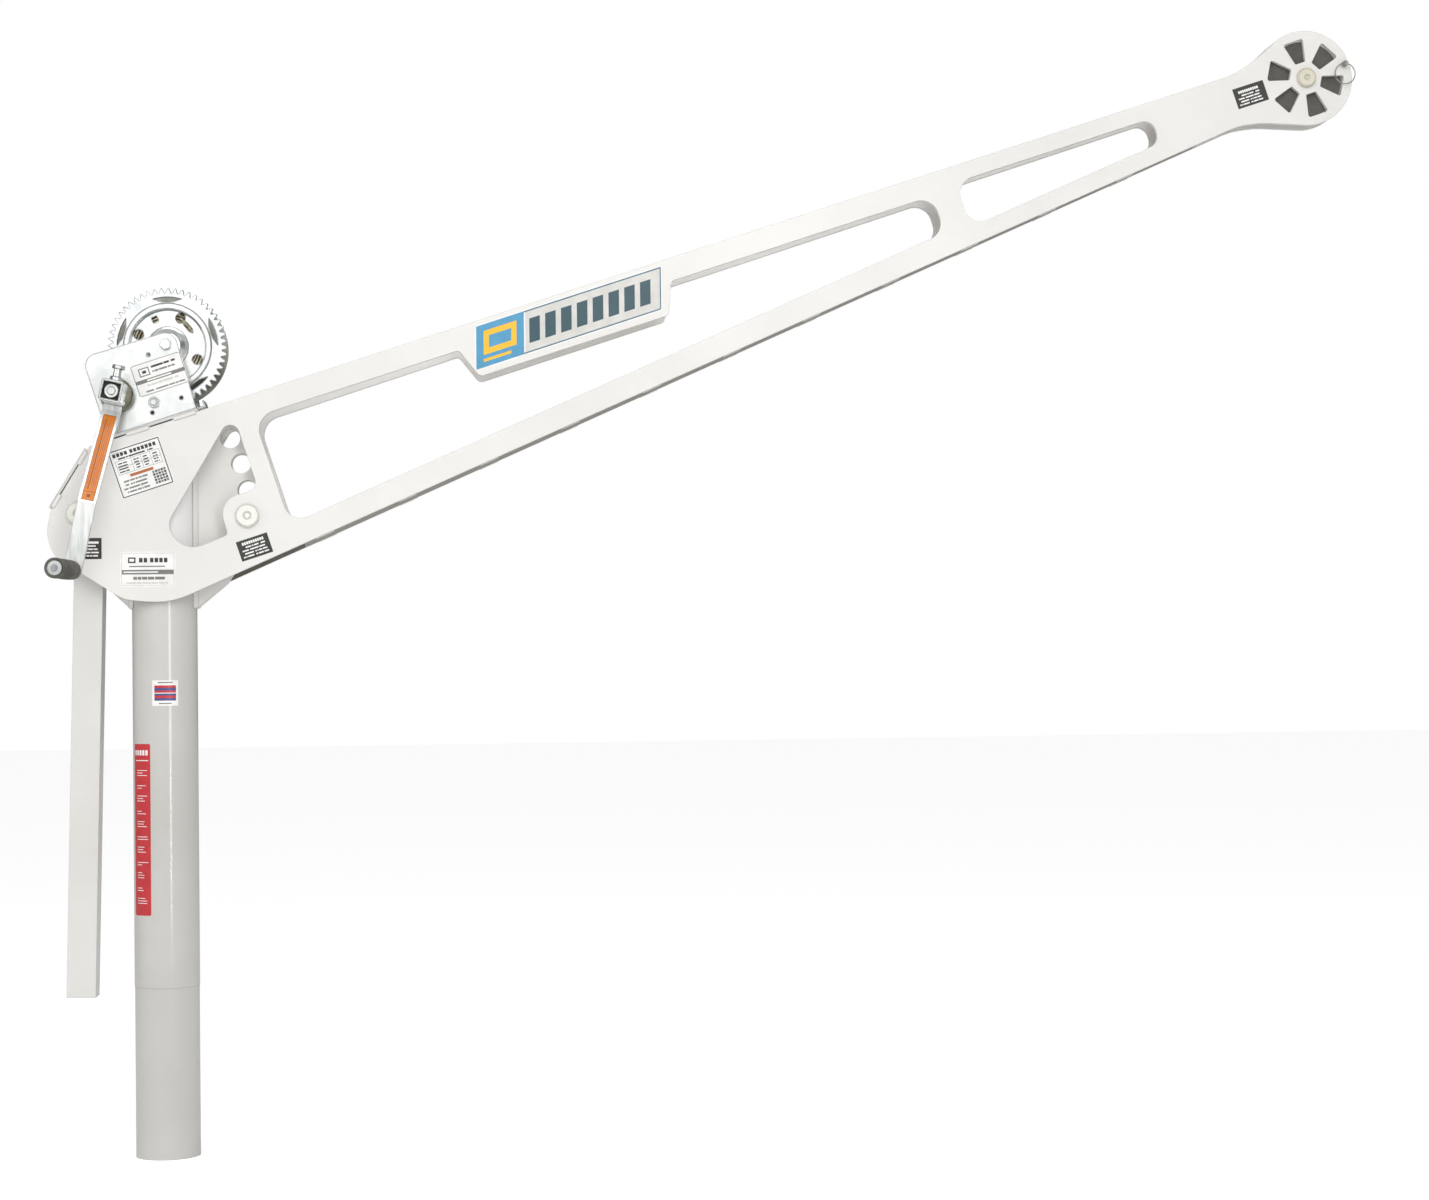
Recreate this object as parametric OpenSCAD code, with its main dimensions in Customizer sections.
// Davit crane: a round mast with a plate head, a welded two-plate boom that luffs to four pinned
// positions, a hand winch with a geared wire rope drum, and a nylon rope sheave in the boom tip.
// Origin: centre of the mast's bottom end. +Z is up, the boom points to +X, the crank faces -Y.

/* [Mast] */
// Outside diameter of the mast tube
mast_od = 114.3; // [108:0.1:120]
// Wall of the mast tube
mast_wall = 6.35; // [4:0.05:10]
// Height of the mast tube's top
mast_h = 1230; // [1150:1:1400]
// Length of the turned seat at the bottom, which stands in a base sleeve
seat_len = 300; // [150:5:400]
// Depth that the seat is turned down
seat_cut = 0.65; // [0.5:0.05:1]
// Thickness of the two cap plates on the mast
cap_t = 6; // [3:0.5:10]

/* [Head plate] */
// Thickness of the head plate that runs through the mast
head_t = 31.75; // [25:0.25:36]
// Distance from the mast axis back to the boom pivot
pivot_back = 141.6; // [135:0.1:150]
// Depth of the boom pivot under the mast's top
pivot_drop = 93.5; // [88:0.5:100]
// Radius from the pivot to the lock holes
lock_r = 293.7; // [285:0.1:300]
// Angle of the lowest lock hole
lock_first = -1.1; // [-3:0.1:1]
// Angle between two lock holes
lock_step = 9.5; // [8.5:0.1:11]
// Number of lock holes
lock_holes = 4; // [3:1:4]
// Diameter of the pivot pin and the lock pin
pin_d = 32; // [26:0.5:36]
// Radius of the pin heads
pin_head_r = 20.6; // [19:0.1:24]
// Depth of the head plate's lower edge under the mast's top
head_depth = 262; // [245:1:280]

/* [Handle] */
// Side of the square slewing handle tube
handle_w = 50.8; // [46:0.2:56]
// Wall of the handle tube
handle_wall = 3.2; // [2:0.1:5]
// Length of the handle tube
handle_len = 816; // [500:1:900]
// Lean of the hanging handle away from the mast
handle_lean = 1.35; // [0.5:0.05:3]
// Diameter of the handle pin
handle_pin_d = 16; // [12:0.5:20]

/* [Boom] */
// Angle of the boom's upper edge above level at rest
boom_rise = 18.13; // [15:0.01:21]
// Distance along the boom from the pivot to the sheave axle
boom_len = 2372; // [2320:0.1:2450]
// Height of the sheave axle over the pivot, square to the upper edge
axle_up = 58.5; // [54:0.5:63]
// Thickness of the two boom plates
plate_t = 9.5; // [7:0.25:11]
// Clear space on each side of the mast, measured at the pivot
mast_clear = 4.35; // [4.2:0.05:7]
// Half of the gap between the boom plates at the sheave axle
gap_tip = 16.8; // [16.3:0.1:20]
// Height of the upper edge over the pivot
top_up = 105.5; // [103:0.5:108]
// Depth of the lower edge under the pivot at the first window
low_down = 175.6; // [172:0.2:180]
// Radius of the round boom tip
tip_r = 88; // [86:0.5:92]
// Depth of the upper chord over the first window
top_chord = 40.5; // [35:0.5:46]
// Depth of the lower chord under the first window
low_chord = 41; // [36:0.5:46]
// Width of the post between the two long windows
post_w = 48.5; // [35:0.5:60]
// Thickness of the strip that closes the lower edge
strip_t = 6; // [4:0.5:9]
// Thickness of the plate that closes the rear edge
rear_cap_t = 6; // [4:0.5:8]

/* [Boom tip] */
// Radius of the rope sheave
sheave_r = 70; // [62:0.5:70]
// Width of the rope sheave
sheave_w = 30; // [24:0.5:30]
// Depth of the rope groove
groove_d = 6; // [4:0.5:9]
// Diameter of the sheave axle
axle_d = 20; // [14:1:24]
// Radius of the axle heads
axle_head_r = 17.5; // [16:0.5:22]
// Distance from the sheave axle to the keeper pin
keeper_reach = 77; // [75.5:0.5:79]
// Diameter of the keeper pin
keeper_d = 8; // [6:0.5:9]
// Radius of the pull ring's centre line
ring_r = 19; // [15:0.5:23]
// Diameter of the ring wire
ring_d = 2; // [1.6:0.1:2.4]

/* [Winch] */
// Thickness of the plate that carries the winch
mount_t = 7; // [5:0.5:10]
// Half of the winch frame's outside width
frame_half = 60; // [58:0.5:63]
// Thickness of the winch frame's sheet
sheet_t = 4; // [3:0.25:5]
// Height of the drum axis over the winch frame's underside
drum_up = 124; // [120:0.5:130]
// Diameter of the drum bolt
drum_bolt_d = 12; // [11:0.5:16]
// Number of teeth on the drum gear
gear_teeth = 52; // [52:4:56]
// Number of teeth on the drive pinion
pinion_teeth = 12; // [12:1:12]
// Size of a tooth: pitch diameter over tooth count
tooth_module = 3.875; // [3.7:0.025:3.9]
// Thickness of the drum gear
gear_t = 8; // [5:0.5:9]
// Radius of the drum's rear flange
flange_r = 101; // [90:0.5:103]
// Radius of the drum barrel
barrel_r = 45; // [40:0.5:46]
// Diameter of the wire rope
rope_d = 4.8; // [4:0.1:5]
// Turns of the rope's outer layer
rope_turns = 8; // [5:1:8]

/* [Crank] */
// Radius of the crank, from the drive shaft to the grip
crank_r = 318; // [280:1:340]
// Width of the crank arm
arm_w = 32; // [24:0.5:34]
// Thickness of the crank arm
arm_t = 7; // [5:0.5:9]
// Diameter of the drive shaft
shaft_d = 20; // [16:0.5:22]
// Side of the square crank hub
hub_w = 39; // [36:0.5:42]
// Diameter of the grip
grip_d = 36; // [30:0.5:42]
// Length of the grip
grip_len = 105; // [85:1:120]

/* [Hidden] */

$fn = 96;
run_gap = 0.05;
face_gap = 0.4;
slip_gap = 0.1;
weld_h = 1.6;
weld_half = 4;
arc_step = 6;
shade_white = "#ececea";
shade_steel = "#c9ccd0";
shade_zinc = "#d6d9dc";
shade_cream = "#dcd7c5";
shade_dark = "#54514e";

mast_r = mast_od / 2;
pin_r = pin_d / 2;
pivot_h = mast_h - pivot_drop;
head_low = mast_h - head_depth;
pivot = [-pivot_back, pivot_h];
gap_pivot = mast_r + mast_clear;
tip = [boom_len, axle_up];
taper = (gap_pivot - gap_tip) / boom_len;
lock_turn = lock_first - boom_rise;
lock_at = lock_r * [cos(lock_turn), sin(lock_turn)];
low_x = 347.8;
low_end = boom_len - 235;
low_slope = (axle_up - 54.2 + low_down) / (low_end - low_x);
low_rise = atan(low_slope);

// Inner half gap and outer half width of the boom plates at a distance along the boom.
function gap_at(x) = gap_pivot - taper * x;
function outer_at(x) = gap_at(x) + plate_t / cos(atan(taper));
function low_at(x) = -low_down + low_slope * (x - low_x);

// A point at a radius and an angle.
function polar(r, a) = r * [cos(a), sin(a)];
function unit(v) = v / norm(v);
function wrap(a) = a > 180 ? a - 360 : a < -180 ? a + 360 : a;
function arc(c, r, a0, turn) =
  let (n = max(1, ceil(abs(turn) / arc_step)))
  [for (i = [0 : n]) c + polar(r, a0 + turn * i / n)];

// Polygon with rounded corners: each corner is [x, y, fillet radius].
function corner(a, p, b, r) =
  let (u = unit(a - p), v = unit(b - p))
  let (half = acos(max(-1, min(1, u * v))) / 2)
  let (c = p + unit(u + v) * r / sin(half))
  let (t = r / tan(half))
  let (s = p + u * t - c, e = p + v * t - c)
  let (a0 = atan2(s[1], s[0]), a1 = atan2(e[1], e[0]))
  r == 0 ? [p] : arc(c, r, a0, wrap(a1 - a0));
function xy(p) = [p[0], p[1]];
function rounded(q) =
  let (n = len(q))
  [for (i = [0 : n - 1]) each corner(xy(q[(i + n - 1) % n]), xy(q[i]), xy(q[(i + 1) % n]), q[i][2])];

// Outline drawn round a loop of circles, counter-clockwise: each circle is [x, y, radius].
function side_angle(p, q) =
  let (d = xy(q) - xy(p), f = (p[2] - q[2]) / norm(d), u = unit(d))
  let (n = u * f + [u[1], -u[0]] * sqrt(1 - f * f))
  atan2(n[1], n[0]);
function belt(q) =
  let (n = len(q))
  [for (i = [0 : n - 1])
    let (a0 = side_angle(q[(i + n - 1) % n], q[i]), a1 = side_angle(q[i], q[(i + 1) % n]))
    each (q[i][2] == 0 ? [xy(q[i])] : arc(xy(q[i]), q[i][2], a0, wrap(a1 - a0)))];

// Draws a flat shape in the X-Z plane and gives it thickness from y0 to y1.
module along_y(y0, y1) {
  translate([0, y1, 0]) rotate([90, 0, 0]) linear_extrude(height = y1 - y0) children();
}

// Round bar along Y.
module rod(p, r, y0, y1) {
  translate([p[0], y1, p[1]]) rotate([90, 0, 0]) cylinder(r = r, h = y1 - y0);
}

// Tube along Y.
module ring_y(p, r_out, r_in, y0, y1) {
  difference() {
    rod(p, r_out, y0, y1);
    rod(p, r_in, y0 - 1, y1 + 1);
  }
}

// Turned piece along Y from a profile of [radius, y] points.
module turned(p, profile) {
  translate([p[0], 0, p[1]]) rotate([-90, 0, 0]) rotate_extrude() polygon(profile);
}

// Hexagon along Y, measured across its flats.
module hex_y(p, flats, y0, y1) {
  translate([p[0], y1, p[1]]) rotate([90, 0, 0]) cylinder(d = flats / cos(30), h = y1 - y0, $fn = 6);
}

// Puts the boom's own frame in place: x runs along the upper edge, the pivot is its origin.
module on_boom() {
  translate([pivot[0], 0, pivot[1]]) rotate([0, -boom_rise, 0]) children();
}

module both_sides() {
  children();
  mirror([0, 1, 0]) children();
}

// A weld bead of a given length along X, domed towards +Z.
module bead(length) {
  dome = (weld_half * weld_half + weld_h * weld_h) / (2 * weld_h);
  span = asin(weld_half / dome);
  rotate([90, 0, 90]) linear_extrude(height = length, center = true)
    polygon(arc([0, weld_h - dome], dome, 90 - span, 2 * span));
}

// Mast and head

module mast_tube() {
  color(shade_white) difference() {
    union() {
      cylinder(r = mast_r - seat_cut, h = seat_len);
      translate([0, 0, seat_len]) cylinder(r = mast_r, h = mast_h - seat_len);
    }
    translate([0, 0, -1]) cylinder(r = mast_r - mast_wall, h = mast_h + 2);
    translate([-mast_r - 1, -head_t / 2, head_low]) cube([mast_od + 2, head_t, mast_h - head_low + 1]);
  }
}

module mast_cap() {
  color(shade_white) difference() {
    translate([0, 0, mast_h]) cylinder(r = mast_r, h = cap_t);
    translate([-mast_r - 1, -head_t / 2, mast_h - 1]) cube([mast_od + 2, head_t, cap_t + 2]);
  }
}

function lock_hole(i) = pivot + polar(lock_r, lock_first + i * lock_step);
handle_at = pivot + [14.6, -61.5];
ear_r = pin_r + 14;
head_outline = belt([
  [handle_at[0], handle_at[1], handle_pin_d / 2 + 17],
  [handle_at[0] + 43, head_low + 25, 0],
  [-mast_r, head_low, 0],
  [mast_r, head_low, 0],
  [mast_r + 54, head_low + 45, 0],
  for (i = [0 : lock_holes - 1]) [lock_hole(i)[0], lock_hole(i)[1], ear_r],
  [-mast_r, pivot_h + 98.5, 0],
  [pivot[0], pivot[1], ear_r + 4]
]);

module head_plate() {
  color(shade_white) difference() {
    along_y(-head_t / 2, head_t / 2) polygon(head_outline);
    rod(pivot, pin_r + run_gap, -head_t, head_t);
    for (i = [0 : lock_holes - 1]) rod(lock_hole(i), pin_r + 1.5, -head_t, head_t);
    rod(handle_at, handle_pin_d / 2 + run_gap, -head_t, head_t);
  }
}

// Fillet welds in the four corners between the mast and the head plate.
weld_leg = 8;
module head_welds() {
  color(shade_steel) both_sides() for (turn = [0, 180]) rotate([0, 0, turn])
    translate([0, 0, head_low + 2]) linear_extrude(height = mast_h - head_low - 4)
      difference() {
        corner_x = sqrt(mast_r * mast_r - head_t * head_t / 4);
        polygon([
          [corner_x - 4, head_t / 2],
          [corner_x + weld_leg - 1, head_t / 2],
          [corner_x - 2, head_t / 2 + weld_leg]
        ]);
        circle(r = mast_r);
      }
}

module handle_pin() {
  half = handle_w / 2;
  color(shade_steel) {
    rod(handle_at, handle_pin_d / 2, -half - 3, half + 3);
    both_sides() rod(handle_at, handle_pin_d / 2 + 4, half + 0.3, half + 7);
  }
}

// Square tube that hangs on its pin and straddles the head plate.
handle_over = 25;
handle_slot = 88;
module handle_tube() {
  half = handle_w / 2;
  inner = half - handle_wall;
  color(shade_white) difference() {
    translate([handle_at[0], 0, handle_at[1]]) rotate([0, handle_lean, 0]) difference() {
      translate([-half - 2, -half, handle_over - handle_len]) cube([handle_w, handle_w, handle_len]);
      translate([-inner - 2, -inner, -handle_len]) cube([2 * inner, 2 * inner, 2 * handle_len]);
      translate([-handle_w, -inner, handle_over - handle_slot])
        cube([2 * handle_w, 2 * inner, 2 * handle_slot]);
    }
    rod(handle_at, handle_pin_d / 2 + run_gap, -handle_w, handle_w);
  }
}

// Boom

rear_gap = 43;
rear_turn = 40.9;
rear_n = polar(1, rear_turn + 90);
rear_t = polar(1, rear_turn);
rear_low = rear_gap * rear_n - 18 * rear_t;
rear_top_x = (rear_gap * rear_n + (top_up - rear_gap * rear_n[1]) / rear_t[1] * rear_t)[0];
neck = boom_len - 125;
tip_from = -105.5;
tip_to = 114.5;

boom_outline = rounded([
  [rear_top_x, top_up, 0],
  [rear_low[0], rear_low[1], 4],
  [-66, -20, 72],
  [-62, -61, 46],
  [27, -low_down + 6.6, 60],
  [100, low_at(100), 140],
  [neck - 26, low_at(neck - 26), 120],
  [neck + 19, axle_up - 54, 150],
  for (a = [tip_from : 5 : tip_to]) let (q = tip + polar(tip_r, a)) [q[0], q[1], 0],
  [boom_len - 67.8, top_up + 19, 80],
  [neck, top_up, 150]
]);

post_x = boom_len - 740;
window_one = rounded([
  [low_x - 4.3, top_up - top_chord, 35],
  [low_x - 4.3, low_at(low_x - 4.3) + low_chord, 30],
  [post_x, low_at(post_x) + low_chord, 32],
  [post_x, top_up - top_chord, 32],
  [1126.7, top_up - top_chord, 8],
  [1103, 8, 12],
  [745.3, 9, 12],
  [724.6, top_up - top_chord, 8]
]);

thin_chord = 30;
window_two_end = boom_len - 303;
window_two = rounded([
  [post_x + post_w, top_up - thin_chord, 32],
  [post_x + post_w, low_at(post_x + post_w) + thin_chord + 1, 30],
  [window_two_end, low_at(window_two_end) + thin_chord + 1, 22],
  [window_two_end, top_up - thin_chord, 22]
]);

post_left = low_x - 37.3;
window_three = rounded([
  [post_left, top_up - 20.7, 15.6],
  [141.5, -65.1, 30],
  [143.2, -124.5, 42],
  [lock_at[0] - 43, -118.5, 8],
  [lock_at[0] - 40, lock_at[1] + 40, 34],
  [post_left, lock_at[1] + 40, 18]
]);

// Spoke windows round the sheave axle.
slot_in = axle_head_r + 12;
slot_out = tip_r - 17;
slot_shape = rounded([[slot_in, -10, 3], [slot_out, -20, 4], [slot_out, 20, 4], [slot_in, 10, 3]]);
slot_turn = 31;

keeper_at = tip + polar(keeper_reach, 1.6);

module boom_plate() {
  difference() {
    translate([0, gap_pivot, 0]) rotate([0, 0, -atan(taper)]) along_y(0, plate_t) difference() {
      polygon(boom_outline);
      polygon(window_one);
      polygon(window_two);
      polygon(window_three);
      for (i = [0 : 5]) translate(tip) rotate(slot_turn + 60 * i) polygon(slot_shape);
    }
    rod([0, 0], pin_r + run_gap, 0, 2 * gap_pivot);
    rod(lock_at, pin_r + run_gap, 0, 2 * gap_pivot);
    rod(tip, axle_d / 2 + run_gap, 0, 2 * gap_pivot);
    rod(keeper_at, keeper_d / 2 + run_gap, 0, 2 * gap_pivot);
  }
}

module boom_plate_rear() {
  color(shade_white) on_boom() boom_plate();
}

module boom_plate_front() {
  color(shade_white) on_boom() mirror([0, 1, 0]) boom_plate();
}

strip_start = low_x + 7;
strip_len = (low_end - strip_start) / cos(low_rise);
function strip_half(s) = gap_at(strip_start + s * cos(low_rise)) - slip_gap;

module bottom_strip() {
  color(shade_white) on_boom() translate([strip_start, 0, low_at(strip_start)]) rotate([0, -low_rise, 0])
    linear_extrude(height = strip_t) polygon([
      [0, -strip_half(0)],
      [strip_len, -strip_half(strip_len)],
      [strip_len, strip_half(strip_len)],
      [0, strip_half(0)]
    ]);
}

rear_cap_len = 122;
module rear_cap_plate() {
  half = outer_at(30) - 0.5;
  color(shade_white) on_boom() rotate([0, -rear_turn, 0])
    translate([-17, -half, rear_gap]) cube([rear_cap_len, 2 * half, rear_cap_t]);
}

mount_x0 = 78;
mount_x1 = 254;
base_z = top_up + mount_t;
winch_bolts_at = [for (x = [mount_x0 + 32, mount_x1 - 26], y = [-34, 34]) [x, y]];
bolt_r = 5;

module winch_mount_plate() {
  color(shade_white) on_boom() translate([0, 0, top_up]) difference() {
    linear_extrude(height = mount_t) polygon([
      [mount_x0, -outer_at(mount_x0)],
      [mount_x1, -outer_at(mount_x1)],
      [mount_x1, outer_at(mount_x1)],
      [mount_x0, outer_at(mount_x0)]
    ]);
    for (p = winch_bolts_at) translate([p[0], p[1], -1]) cylinder(r = bolt_r + slip_gap, h = mount_t + 2);
  }
}

// Stitch welds along the lower strip, the winch plate and the rear plate.
stitch = 35;
stitch_pitch = 160;
mount_bead = 40;
rear_bead = 26;
module boom_welds() {
  color(shade_white) on_boom() both_sides() {
    translate([strip_start, 0, low_at(strip_start)]) rotate([0, -low_rise, 0])
      for (s = [40 : stitch_pitch : strip_len - 20])
        translate([s, strip_half(s), 0]) rotate([180, 0, 0]) bead(stitch);
    for (x = [mount_x0 + 66, mount_x1 - 24])
      translate([x, outer_at(x - mount_bead / 2) + 0.05, top_up]) rotate([-90, 0, 0]) bead(mount_bead);
    rotate([0, -rear_turn, 0]) for (s = [0, rear_cap_len - 34])
      translate([
        s,
        outer_at((s - rear_bead / 2) * cos(rear_turn) - rear_gap * sin(rear_turn)) + 0.05,
        rear_gap
      ]) rotate([-90, 0, 0]) bead(rear_bead);
  }
}

// Pins

// Round pin head with a dimple, seated against a face at y towards +Y.
// How far a pin's rod runs on into its heads.
head_bite = 1;
module pin_head(p, r, y, dimple) {
  turned(p, [[0, y], [r, y], [r, y + 6], [r - 2, y + 8], [dimple, y + 8], [dimple - 2, y + 5], [0, y + 5]]);
}

module pivot_pin() {
  seat = outer_at(-pin_head_r) + slip_gap;
  color(shade_cream) on_boom() {
    rod([0, 0], pin_r, -seat - head_bite, seat + head_bite);
    both_sides() pin_head([0, 0], pin_head_r, seat, 7);
  }
}

module pivot_spacers() {
  color(shade_steel) on_boom() both_sides()
    ring_y([0, 0], pin_r + 6, pin_r + run_gap, head_t / 2 + face_gap, gap_at(pin_r + 6) - slip_gap);
}

module lock_pin_half() {
  seat = outer_at(lock_at[0] - pin_head_r) + slip_gap;
  rod(lock_at, pin_r, head_t / 2 + face_gap, seat);
  pin_head(lock_at, pin_head_r, seat, 7);
}

module lock_pin_rear() {
  color(shade_cream) on_boom() lock_pin_half();
}

module lock_pin_front() {
  color(shade_cream) on_boom() mirror([0, 1, 0]) lock_pin_half();
}

// Boom tip

axle_seat = outer_at(boom_len - axle_head_r) + slip_gap;
module sheave_axle() {
  color(shade_cream) on_boom() {
    rod(tip, axle_d / 2, -axle_seat - head_bite, axle_seat + head_bite);
    both_sides() pin_head(tip, axle_head_r, axle_seat, 5);
  }
}

bush_r = axle_d / 2 + 4;
washer_in = sheave_w / 2 + 0.2;
module sheave_washers() {
  washer_r = bush_r + 6;
  color(shade_steel) on_boom() both_sides()
    ring_y(tip, washer_r, axle_d / 2 + run_gap, washer_in, gap_at(boom_len + washer_r) - 0.05);
}

module sheave() {
  half = sheave_w / 2;
  floor_half = rope_d / 2;
  color(shade_dark) on_boom() turned(tip, [
    [bush_r, -half],
    [sheave_r, -half],
    [sheave_r, -floor_half - groove_d],
    [sheave_r - groove_d, -floor_half],
    [sheave_r - groove_d, floor_half],
    [sheave_r, floor_half + groove_d],
    [sheave_r, half],
    [bush_r, half]
  ]);
}

module sheave_bush() {
  color("#b08d57") on_boom()
    ring_y(tip, bush_r, axle_d / 2 + run_gap, -sheave_w / 2, sheave_w / 2);
}

// Pin that keeps the rope in the groove, with a cross hole for its pull ring.
keeper_face = outer_at(keeper_at[0] - 8);
cross_y = -keeper_face - 8;
cross_r = ring_d / 2 + 0.5;
keeper_knob = 5;
keeper_world = pivot + [
  keeper_at[0] * cos(boom_rise) - keeper_at[1] * sin(boom_rise),
  keeper_at[0] * sin(boom_rise) + keeper_at[1] * cos(boom_rise)
];
module keeper_pin() {
  color(shade_steel) difference() {
    on_boom() {
      rod(keeper_at, keeper_d / 2, -keeper_face - 1, keeper_face + 5);
      rod(keeper_at, keeper_knob, -keeper_face - 13, -keeper_face - 0.5);
    }
    translate([keeper_world[0] - 10, cross_y, keeper_world[1]]) rotate([0, 90, 0])
      cylinder(r = cross_r, h = 20);
  }
}

ring_sag = ring_r - sqrt(ring_r * ring_r - keeper_knob * keeper_knob);
module keeper_ring() {
  color(shade_steel)
    translate([keeper_world[0], cross_y, keeper_world[1] - ring_r + ring_sag / 2]) rotate([90, 0, 0])
      rotate_extrude() translate([ring_r, 0]) circle(d = ring_d, $fn = 24);
}

// Winch frame

drum_at = [238.2, base_z + drum_up];
mesh_turn = 209.37;
centre_dist = tooth_module * (gear_teeth + pinion_teeth) / 2;
drive_at = drum_at + polar(centre_dist, mesh_turn);
pawl_at = drive_at + [56.5, -30.5];
frame_x0 = 90.7;
frame_x1 = 253.2;
frame_in = frame_half - sheet_t;
shaft_r = shaft_d / 2;
shaft_hole = shaft_r + 5;
drum_bolt_r = drum_bolt_d / 2;
pawl_bolt_r = 6;
frame_hole_r = 3.2;
frame_holes = [[203.9, base_z + 115.5], [234.2, base_z + 25.5], [178.1, base_z + 16.4]];
frame_outline = belt([
  [frame_x0, base_z, 0],
  [frame_x1, base_z, 0],
  [drum_at[0], drum_at[1], drum_bolt_r + 14.8],
  [frame_x0 + 23.4, drum_at[1] + 1, 22]
]);

module winch_frame() {
  color(shade_zinc) on_boom() difference() {
    union() {
      both_sides() along_y(frame_in, frame_half) polygon(frame_outline);
      translate([frame_x0, -frame_half + 1, base_z])
        cube([frame_x1 - frame_x0, 2 * frame_half - 2, sheet_t]);
      translate([frame_x1 - 1, -30, base_z]) cube([16, 60, sheet_t]);
      translate([frame_x1 + 11.5, -30, base_z]) cube([3.5, 60, 13]);
    }
    rod(drum_at, drum_bolt_r + run_gap, -2 * frame_half, 2 * frame_half);
    rod(drive_at, shaft_hole, -2 * frame_half, 2 * frame_half);
    rod(pawl_at, pawl_bolt_r + run_gap, -2 * frame_half, -frame_in + 1);
    for (p = frame_holes)
      rod(p, frame_hole_r, -2 * frame_half, -frame_in + 1);
    for (p = winch_bolts_at) translate([p[0], p[1], base_z - 1])
      cylinder(r = bolt_r + slip_gap, h = sheet_t + 2);
  }
}

module winch_bolts() {
  color(shade_zinc) on_boom() for (p = winch_bolts_at) translate([p[0], p[1], 0]) {
    translate([0, 0, top_up - 12]) cylinder(r = bolt_r, h = 12 + mount_t + sheet_t);
    translate([0, 0, base_z + sheet_t]) cylinder(r = 10, h = 1.5);
    translate([0, 0, base_z + sheet_t + 1.5]) cylinder(d = 17 / cos(30), h = 6, $fn = 6);
    translate([0, 0, top_up - 1.5]) cylinder(r = 10, h = 1.5);
    translate([0, 0, top_up - 9]) cylinder(d = 17 / cos(30), h = 7.5, $fn = 6);
  }
}

module drum_bolt() {
  color(shade_zinc) on_boom() {
    rod(drum_at, drum_bolt_r, -frame_half - 2, frame_half + 16);
    hex_y(drum_at, 3 * drum_bolt_r, -frame_half - 8, -frame_half);
    rod(drum_at, drum_bolt_r + 6.5, frame_half, frame_half + 2.5);
    hex_y(drum_at, 3 * drum_bolt_r, frame_half + 2.5, frame_half + 14);
  }
}

module shaft_bushes() {
  color("#8d8a80") on_boom() both_sides() {
    ring_y(drive_at, shaft_hole - run_gap, shaft_r + run_gap, frame_in - 2, frame_half + 2);
    ring_y(drive_at, shaft_hole + 4, shaft_r + run_gap, frame_half + 0.05, frame_half + 3);
  }
}

// Ratchet wheel, pawl and friction discs

ratchet_y0 = -50;
ratchet_y1 = -44;
ratchet_r = 38;
ratchet_root = 31;
ratchet_teeth = 12;
lining_r = 27;
lining_t = 3;

// The pawl lies along a line that touches a circle just inside the tooth tips, and pushes against one tooth.
pawl_depth = 2;
pawl_off = pawl_at - drive_at;
pawl_far = norm(pawl_off);
pawl_len = sqrt(pawl_far ^ 2 - (ratchet_r - pawl_depth) ^ 2);
nose_at = atan2(pawl_off[1], pawl_off[0]) + acos((ratchet_r - pawl_depth) / pawl_far);
tooth_ahead = 2.2;

module ratchet_wheel() {
  color(shade_steel) on_boom() difference() {
    translate([drive_at[0], 0, drive_at[1]]) along_y(ratchet_y0, ratchet_y1)
      rotate(nose_at + tooth_ahead) polygon([for (i = [0 : ratchet_teeth - 1]) each [
        polar(ratchet_root, i * 360 / ratchet_teeth),
        polar(ratchet_r, i * 360 / ratchet_teeth)
      ]]);
    rod(drive_at, shaft_r + run_gap, ratchet_y0 - 1, ratchet_y1 + 1);
  }
}

module friction_discs() {
  color("#5c5348") on_boom() {
    ring_y(drive_at, lining_r, shaft_r + run_gap, ratchet_y1, ratchet_y1 + lining_t);
    ring_y(drive_at, lining_r, shaft_r + run_gap, ratchet_y0 - lining_t, ratchet_y0);
  }
}

module pawl_bolt() {
  color(shade_zinc) on_boom() {
    rod(pawl_at, pawl_bolt_r, -frame_half - 9, ratchet_y1 + 2);
    hex_y(pawl_at, 18, -frame_half - 7, -frame_half);
    rod(pawl_at, pawl_bolt_r + 3, ratchet_y1 + 0.3, ratchet_y1 + 4);
  }
}

// At rest the pawl rides just clear of the tooth tips. It drops by pawl_ride to block the wheel.
pawl_boss = 11;
pawl_ride = 3.2;
module pawl() {
  color(shade_steel) on_boom() difference() {
    translate([pawl_at[0], 0, pawl_at[1]]) along_y(ratchet_y0 + 0.2, ratchet_y1 - 0.2)
      rotate(nose_at + 90 - pawl_ride) polygon(rounded([
        for (q = arc([0, 0], pawl_boss, 60, 202)) [q[0], q[1], 0],
        [pawl_len - 3.6, -pawl_boss - 0.5, 6],
        [pawl_len + 1.3, -5, 2],
        [pawl_len + 0.8, 0.6, 0.8],
        [pawl_len - 2.5, 0.6, 0.6],
        [pawl_len - 5.9, -3.6, 2]
      ]));
    rod(pawl_at, pawl_bolt_r + run_gap, ratchet_y0 - 1, ratchet_y1 + 1);
  }
}

// Gears: involute teeth from the pressure angle, thinned a little for backlash

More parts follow.
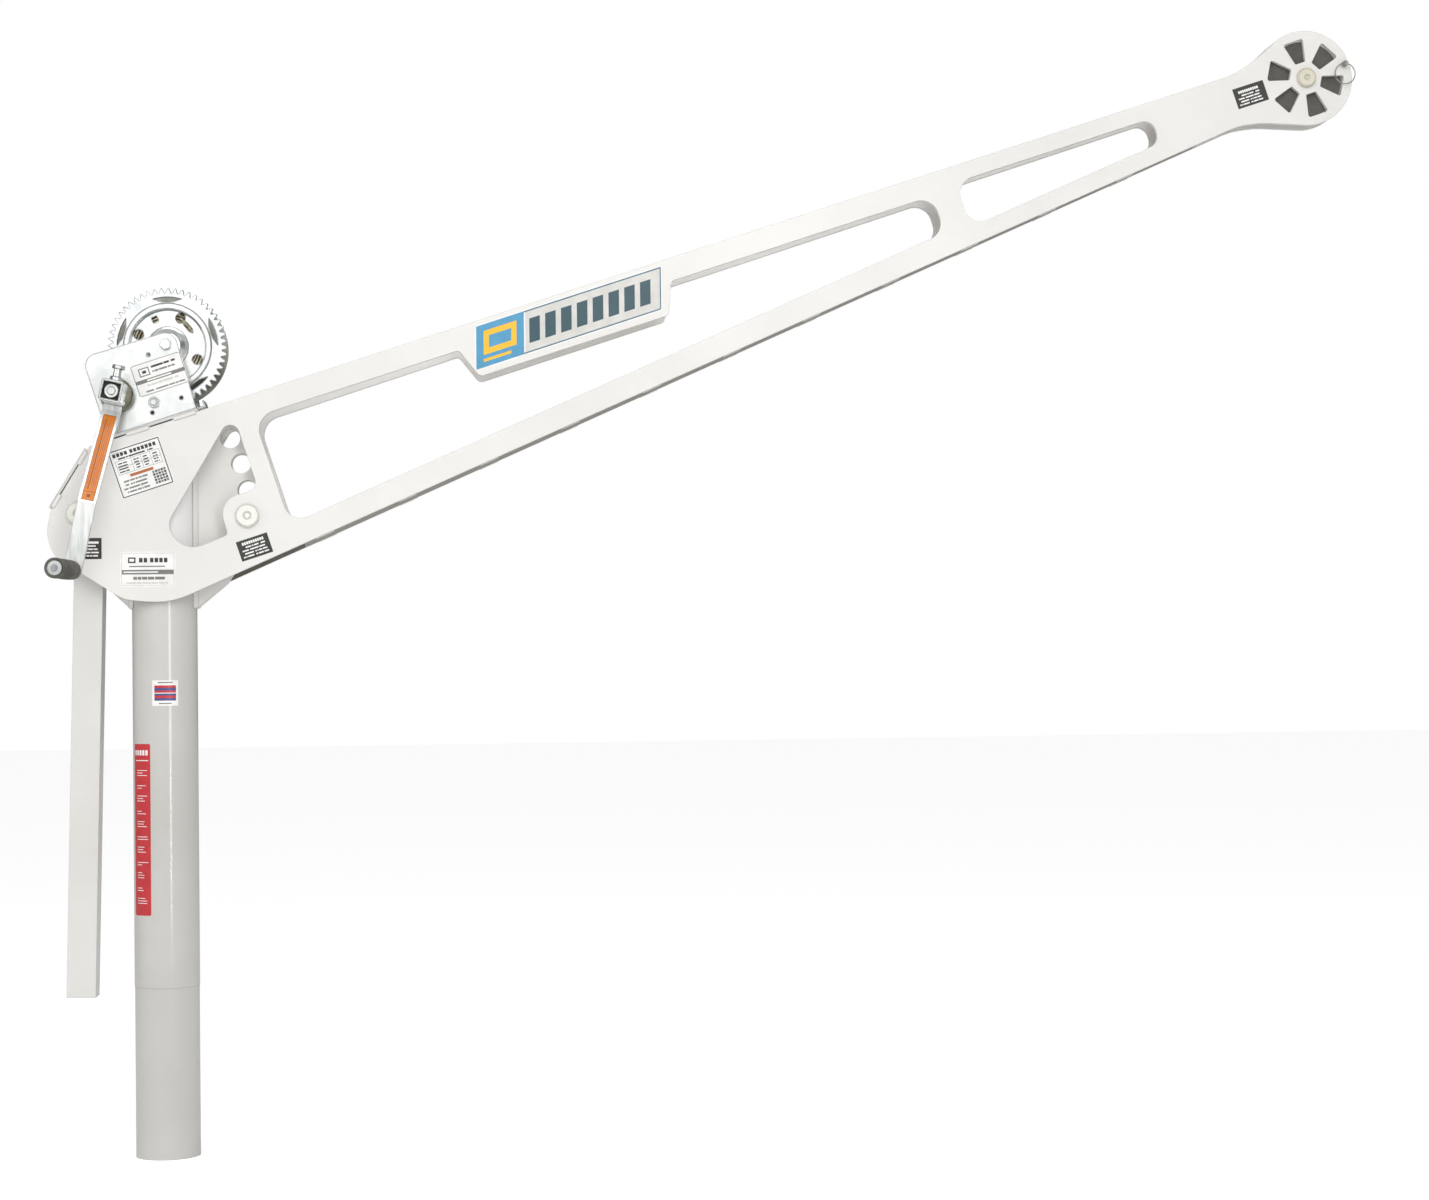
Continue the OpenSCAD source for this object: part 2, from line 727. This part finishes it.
press_angle = 25;
backlash = 0.35;
function inv(a) = tan(a) - a * PI / 180;
function base_r(n) = tooth_module * n / 2 * cos(press_angle);
function tooth_half(n, r) =
  90 / n - backlash / (2 * tooth_module * n) * 180 / PI
  + (inv(press_angle) - inv(acos(min(1, base_r(n) / r)))) * 180 / PI;
function gear_points(n) =
  let (tip_radius = tooth_module * (n / 2 + 1), root = tooth_module * (n / 2 - 1.25))
  let (low = max(root, base_r(n)))
  [for (i = [0 : n - 1]) let (a = i * 360 / n) each [
    polar(root, a - tooth_half(n, low) - 0.3),
    for (k = [0 : 4]) let (r = low + (tip_radius - low) * k / 4) polar(r, a - tooth_half(n, r)),
    for (k = [4 : -1 : 0]) let (r = low + (tip_radius - low) * k / 4) polar(r, a + tooth_half(n, r)),
    polar(root, a + tooth_half(n, low) + 0.3)
  ]];

gear_y1 = -18;
gear_y0 = gear_y1 - gear_t;
dish_r = 70;
crescents = 5;
// At rest the drum stands turned back by the boom's rise.
drum_turn = -boom_rise;
module gear_wheel() {
  pitch_r = tooth_module * gear_teeth / 2;
  inner = pitch_r - 20.5;
  outer = pitch_r - 12;
  color(shade_zinc) on_boom() translate([drum_at[0], 0, drum_at[1]]) difference() {
    along_y(gear_y0, gear_y1) rotate(mesh_turn) polygon(gear_points(gear_teeth));
    rod([0, 0], dish_r + run_gap, gear_y0 - 1, gear_y1 + 1);
    for (i = [0 : crescents - 1]) along_y(gear_y0 - 1, gear_y1 + 1)
      rotate(drum_turn + 18 + 360 / crescents * i)
        polygon(concat(arc([0, 0], outer, -17, 34), [polar(inner, 7), polar(inner, -7)]));
  }
}

module pinion() {
  color(shade_steel) on_boom() difference() {
    translate([drive_at[0], 0, drive_at[1]]) along_y(gear_y0 - 5, gear_y1 + 5)
      rotate(mesh_turn - 180 + 180 / pinion_teeth) polygon(gear_points(pinion_teeth));
    rod(drive_at, shaft_r + run_gap, gear_y0 - 6, gear_y1 + 6);
  }
}

// Drum

drum_y0 = -17;
drum_y1 = 44;
drum_bush_r = drum_bolt_r + 4;
hub_y0 = -50;
hub_y1 = 53;
module drum() {
  wall = 4;
  color(shade_zinc) on_boom() turned(drum_at, [
    [drum_bush_r, -16],
    [barrel_r, -16],
    [barrel_r, drum_y1],
    [flange_r, drum_y1],
    [flange_r, drum_y1 + wall],
    [barrel_r - 6, drum_y1 + wall],
    [barrel_r - wall, drum_y1],
    [barrel_r - wall, -12],
    [drum_bush_r + 5, -12],
    [drum_bush_r + 5, drum_y1 - 4],
    [36, drum_y1 - 4],
    [36, drum_y1],
    [drum_bush_r + 5, drum_y1],
    [drum_bush_r + 5, hub_y1],
    [drum_bush_r, hub_y1]
  ]);
}

// Pressed front flange: rolled rim, dished floor with round holes, domed centre.
rim_r = 78;
floor_y = -17;
boss_r = 36;
hole_c = 56;
rope_hole = 66.5;
module drum_front_flange() {
  hole_r = 8.7;
  color(shade_zinc) on_boom() difference() {
    turned(drum_at, [
      [drum_bush_r, floor_y + 1],
      [dish_r, floor_y + 1],
      [dish_r, gear_y0 - 0.2],
      [rim_r, gear_y0 - 0.2],
      [rim_r, gear_y0 - 2],
      [rim_r - 2, gear_y0 - 4],
      [dish_r - 2, gear_y0 - 4],
      [dish_r - 3.5, gear_y0 - 2],
      [dish_r - 3.5, floor_y - 2],
      [boss_r, floor_y - 2],
      [boss_r - 5, floor_y - 14],
      [boss_r - 13, floor_y - 21],
      [drum_bush_r + 6, floor_y - 23],
      [drum_bush_r + 5, hub_y0],
      [drum_bush_r, hub_y0]
    ]);
    for (a = [0 : 90 : 270])
      rod(drum_at + polar(hole_c, drum_turn + rope_hole + a), hole_r, floor_y - 5, floor_y + 5);
    translate([drum_at[0], 0, drum_at[1]]) rotate([0, -drum_turn - rope_hole - 48, 0])
      translate([49, floor_y - 5, -5]) cube([10, 10, 10]);
  }
}

module drum_bush() {
  color("#b08d57") on_boom()
    ring_y(drum_at, drum_bush_r, drum_bolt_r + run_gap, hub_y0, hub_y1);
}

// Wire rope: the inner layers are a plain core, the outer layer is wound turn by turn.

core_r = 63;
rope_r = rope_d / 2;
wind_gap = 0.35;
wind_r = core_r + rope_r + wind_gap;
core_y0 = drum_y0 + 1.3;
core_y1 = drum_y1 - 0.2;
module rope_core() {
  color("#a9acae") on_boom() ring_y(drum_at, core_r, barrel_r + run_gap, core_y0, core_y1);
}

// The layer leaves each flange square to it, bends round and winds at an even pitch.
bend_r = 3.2;
wind_y0 = core_y0 + rope_d + bend_r;
wind_y1 = core_y1 - rope_d - bend_r;
bend_turn = bend_r / wind_r * 180 / PI;
loop_rings = 24;
wind_steps = rope_turns * loop_rings;
function at_drum(a, y) = [wind_r * cos(a), y, wind_r * sin(a)];
rope_path = concat(
  [at_drum(0, core_y0), at_drum(0, core_y0 + rope_d)],
  [for (u = [30, 60]) at_drum(bend_turn * (1 - cos(u)), core_y0 + rope_d + bend_r * sin(u))],
  [for (i = [0 : wind_steps])
    at_drum(bend_turn + 360 * i / loop_rings, wind_y0 + (wind_y1 - wind_y0) * i / wind_steps)],
  [for (u = [60, 30])
    at_drum(bend_turn * (1 + cos(u)) + 360 * rope_turns, core_y1 - rope_d - bend_r * sin(u))],
  [for (y = [core_y1 - rope_d, core_y1]) at_drum(2 * bend_turn + 360 * rope_turns, y)]
);
rope_sides = 6;
// Direction of the path at a point, and a ring of points square to it. The ends face along Y.
function path_dir(i) =
  let (n = len(rope_path))
  i <= 1 || i >= n - 2 ? [0, 1, 0] : unit(rope_path[i + 1] - rope_path[i - 1]);
function ring_at(i) =
  let (p = rope_path[i], d = path_dir(i), out = unit([p[0], 0, p[2]]))
  let (side = unit(cross(d, out)), up = cross(side, d))
  [for (k = [0 : rope_sides - 1])
    let (a = 360 * k / rope_sides + 30) p + rope_r * (up * cos(a) + side * sin(a))];

rope_points = [for (i = [0 : len(rope_path) - 1]) each ring_at(i)];
rope_last = (len(rope_path) - 1) * rope_sides;
rope_faces = concat(
  [for (k = [1 : rope_sides - 2]) [0, k + 1, k]],
  [for (k = [1 : rope_sides - 2]) [rope_last, rope_last + k, rope_last + k + 1]],
  [for (i = [0 : len(rope_path) - 2], k = [0 : rope_sides - 1])
    let (a = i * rope_sides + k, b = i * rope_sides + (k + 1) % rope_sides)
    each [[a, b, b + rope_sides], [a, b + rope_sides, a + rope_sides]]]
);

// Each third ring of the path is measured to the rings about one turn further on.
turn_gap = min([
  for (i = [4 : 3 : len(rope_path) - loop_rings - 3], j = [i + loop_rings - 3 : i + loop_rings + 3])
    norm(rope_path[i] - rope_path[min(j, len(rope_path) - 1)])
]) - rope_d;
echo(least_gap_between_rope_turns = turn_gap);

module rope_winding() {
  color("#b5b8ba") on_boom() translate([drum_at[0], 0, drum_at[1]])
    polyhedron(points = rope_points, faces = rope_faces);
}

// Dead end of the rope: it comes out of one hole of the front flange and ends under a ferrule.
module rope_end() {
  ferrule_r = rope_r + 2;
  y = floor_y - 2 - ferrule_r - 0.1;
  a = polar(hole_c, drum_turn + rope_hole);
  b = polar(hole_c - 5, drum_turn + rope_hole - 36);
  span = b - a;
  lean = [0, 90 - atan2(span[1], span[0]), 0];
  color("#a9acae") on_boom() translate([drum_at[0], 0, drum_at[1]]) {
    translate([a[0], y, a[1]]) rotate(lean) translate([0, 0, -rope_r]) {
      cylinder(r = rope_r, h = norm(span) + rope_r);
      translate([0, 0, 13]) cylinder(r = ferrule_r, h = 19);
    }
    rod(a, rope_r - 0.2, y, floor_y + 1);
  }
}

// Drive shaft, brake and crank

crank_turn = 258 - boom_rise;
hub_front = -155;
hub_back = -85;
brake_y0 = -84;
brake_y1 = -70;
module drive_shaft() {
  color(shade_steel) on_boom() {
    rod(drive_at, shaft_r, hub_front + 14, frame_half + 5);
    rod(drive_at, shaft_r + 4, frame_half + 3.2, frame_half + 7);
  }
}

module brake_disc() {
  color(shade_zinc) on_boom() turned(drive_at, [
    [shaft_r + run_gap, brake_y0],
    [27, brake_y0],
    [29, brake_y0 + 2],
    [29, brake_y1 - 2],
    [27, brake_y1],
    [18, brake_y1],
    [18, -frame_half - 3.3],
    [shaft_r + run_gap, -frame_half - 3.3]
  ]);
}

// Places the crank's own frame: x runs from the shaft down the arm.
module on_crank() {
  on_boom() translate([drive_at[0], 0, drive_at[1]]) rotate([0, -crank_turn, 0]) children();
}

// Square tube hub: a recess in front holds the shaft's nut, a clamp screw stands on top.
nut_r = 12;
hub_wall = 4.5;
clamp_r = 7;
clamp_top = 48;
clamp_head = 6.5;
clamp_y = hub_front + 34;
module crank_hub() {
  half = hub_w / 2;
  inner = half - hub_wall;
  color(shade_zinc) on_crank() difference() {
    along_y(hub_front, hub_back)
      polygon(rounded([[-half, -half, 6], [half, -half, 6], [half, half, 6], [-half, half, 6]]));
    rod([0, 0], shaft_r + run_gap, hub_front + 5, hub_back + 1);
    translate([-inner, hub_front - 1, -inner]) cube([2 * inner, 13, 2 * inner]);
    translate([0, clamp_y, 0]) rotate([0, -90, 0]) cylinder(r = clamp_r + run_gap, h = hub_w);
  }
}

module hub_nut() {
  color(shade_steel) on_crank() {
    rod([0, 0], nut_r, hub_front + 4, hub_front + 12);
    rod([0, 0], 7, hub_front + 2, hub_front + 4);
  }
}

module clamp_screw() {
  half = hub_w / 2;
  color(shade_steel) on_crank() translate([0, clamp_y, 0]) rotate([0, -90, 0]) {
    translate([0, 0, shaft_r + run_gap]) cylinder(r = clamp_r, h = clamp_top - shaft_r - 1);
    translate([0, 0, half]) cylinder(d = 19 / cos(30), h = 8, $fn = 6);
    translate([0, 0, clamp_top - clamp_head]) cylinder(d = 19 / cos(30), h = clamp_head, $fn = 6);
  }
}

// Flat arm: down from the hub, sloping out, then straight again to the grip.
arm_top_y = -100;
arm_low_y = -165;
bend_one = 30;
bend_two = 197;
module crank_arm() {
  slope = atan((arm_top_y - arm_low_y) / (bend_two - bend_one));
  shift = arm_t * tan(slope / 2);
  arm_end = crank_r + arm_w / 2;
  color(shade_zinc) on_crank() difference() {
    translate([0, 0, -arm_w / 2]) intersection() {
      linear_extrude(height = arm_w) polygon([
        [hub_w / 2, arm_top_y],
        [bend_one, arm_top_y],
        [bend_two, arm_low_y],
        [arm_end, arm_low_y],
        [arm_end, arm_low_y + arm_t],
        [bend_two + shift, arm_low_y + arm_t],
        [bend_one + shift, arm_top_y + arm_t],
        [hub_w / 2, arm_top_y + arm_t]
      ]);
      translate([0, 0, arm_w / 2]) along_y(arm_low_y - 1, arm_top_y + arm_t + 1)
        polygon(rounded([
          [hub_w / 2, -arm_w / 2, 0],
          [arm_end, -arm_w / 2, arm_w / 2 - 0.5],
          [arm_end, arm_w / 2, arm_w / 2 - 0.5],
          [hub_w / 2, arm_w / 2, 0]
        ]));
    }
    rod([crank_r, 0], grip_axle_r, arm_low_y - 1, arm_low_y + arm_t + 1);
  }
}

// Grip on a splayed axle.
grip_axle_r = 5;
splay = 7.5;
grip_start = 5;
module on_grip() {
  on_crank() translate([crank_r, arm_low_y, 0]) rotate([0, crank_turn + boom_rise, 0])
    rotate([90, 0, -splay]) children();
}

module grip_axle() {
  color(shade_steel) {
    collar_r = grip_axle_r + 5;
    collar_rise = collar_r * sin(splay) + slip_gap;
    axle_rise = grip_start - 1.5;
    on_grip() translate([0, 0, axle_rise])
      cylinder(r = grip_axle_r - run_gap, h = grip_start + grip_len + 1.5 - axle_rise);
    on_grip() translate([0, 0, collar_rise]) cylinder(r = collar_r, h = grip_start - 0.2 - collar_rise);
    on_crank() rod([crank_r, 0], grip_axle_r - run_gap, arm_low_y - collar_rise - 1, arm_low_y + arm_t + 3);
    on_crank() rod([crank_r, 0], grip_axle_r + 4, arm_low_y + arm_t, arm_low_y + arm_t + 3.5);
  }
}

module grip() {
  r = grip_d / 2;
  color(shade_dark) on_grip() difference() {
    translate([0, 0, grip_start]) rotate_extrude() polygon(concat(
      [[grip_axle_r, 0], [r - 5, 0], [r - 3, 3], [r - 3, 8]],
      [for (k = [1 : 9]) [r - 3 + 3 * sin(k * 18), 8 + (grip_len - 16) * k / 10]],
      [[r - 3, grip_len - 8], [r - 3, grip_len - 3], [r - 5, grip_len], [grip_axle_r, grip_len]]
    ));
    translate([0, 0, grip_start + grip_len - 3]) cylinder(r = 13.2, h = 10);
  }
}

module grip_cap() {
  color(shade_steel) on_grip() difference() {
    translate([0, 0, grip_start + grip_len - 3]) cylinder(r = 13, h = 3.5);
    translate([0, 0, grip_start + grip_len - 4]) cylinder(r = grip_axle_r, h = 10);
  }
}

mast_tube();
mast_cap();
head_plate();
head_welds();
handle_pin();
handle_tube();
boom_plate_front();
boom_plate_rear();
bottom_strip();
rear_cap_plate();
winch_mount_plate();
boom_welds();
pivot_pin();
pivot_spacers();
lock_pin_front();
lock_pin_rear();
sheave_axle();
sheave_washers();
sheave();
sheave_bush();
keeper_pin();
keeper_ring();
winch_frame();
winch_bolts();
drum_bolt();
shaft_bushes();
pawl_bolt();
pawl();
drum();
drum_front_flange();
gear_wheel();
drum_bush();
rope_core();
rope_winding();
rope_end();
drive_shaft();
pinion();
ratchet_wheel();
friction_discs();
brake_disc();
crank_hub();
crank_arm();
clamp_screw();
hub_nut();
grip_axle();
grip();
grip_cap();
